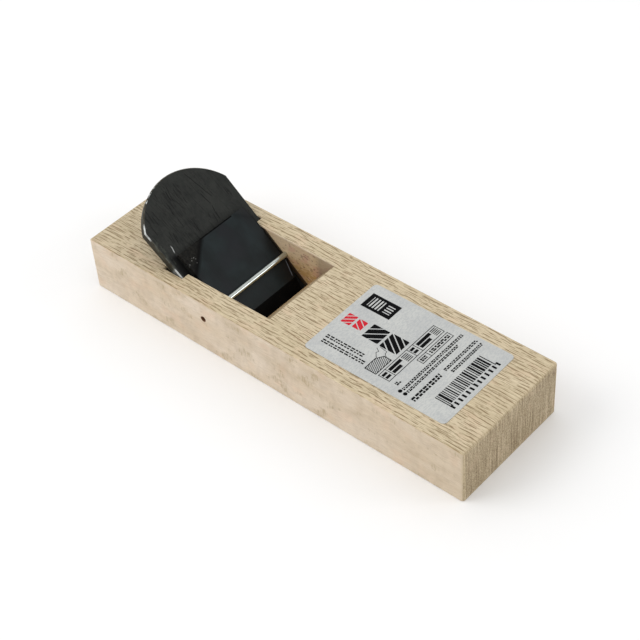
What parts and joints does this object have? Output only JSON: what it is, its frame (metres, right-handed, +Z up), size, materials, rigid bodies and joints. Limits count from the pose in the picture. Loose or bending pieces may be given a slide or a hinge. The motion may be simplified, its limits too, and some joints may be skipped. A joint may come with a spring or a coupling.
{
  "type": "hand plane",
  "caption": "Small Japanese pull plane: a plain wooden block with a slanted mortise, a round-headed iron, a chip breaker and a steel cross pin.",
  "frame": {"origin": "centre of the sole, on the surface that the plane stands on", "axes": "+X along the block towards its front end (the end ahead of the mouth, where the label is), +Z up out of the top surface"},
  "size_m": [0.18, 0.054, 0.0449],
  "materials": {
    "oak": "bare planed oak",
    "pin_steel": "bright drawn wire",
    "label_foil": "silver-grey faced paper",
    "forged_iron": "dark forge scale, rubbed bright along the edges",
    "hard_steel": "ground",
    "blued_steel": "smooth satin black"
  },
  "bodies": {
    "plane_body": {"body_block": "oak", "cross_pin": "pin_steel", "paper_label": "label_foil"},
    "iron": {"iron_soft_back": "forged_iron", "iron_hard_steel": "hard_steel"},
    "chip_breaker": {"breaker_plate": "blued_steel", "breaker_steel_edge": "hard_steel"}
  },
  "joints": [
    {"name": "iron_slide", "type": "slide", "parent": "plane_body", "child": "iron", "axis": [-0.7955, 0, 0.606], "range_m": [-0.0005, 0.045]},
    {"name": "breaker_slide", "type": "slide", "parent": "iron", "child": "chip_breaker", "axis": [-0.7848, 0, 0.6198], "range_m": [-0.0005, 0.045]}
  ]
}
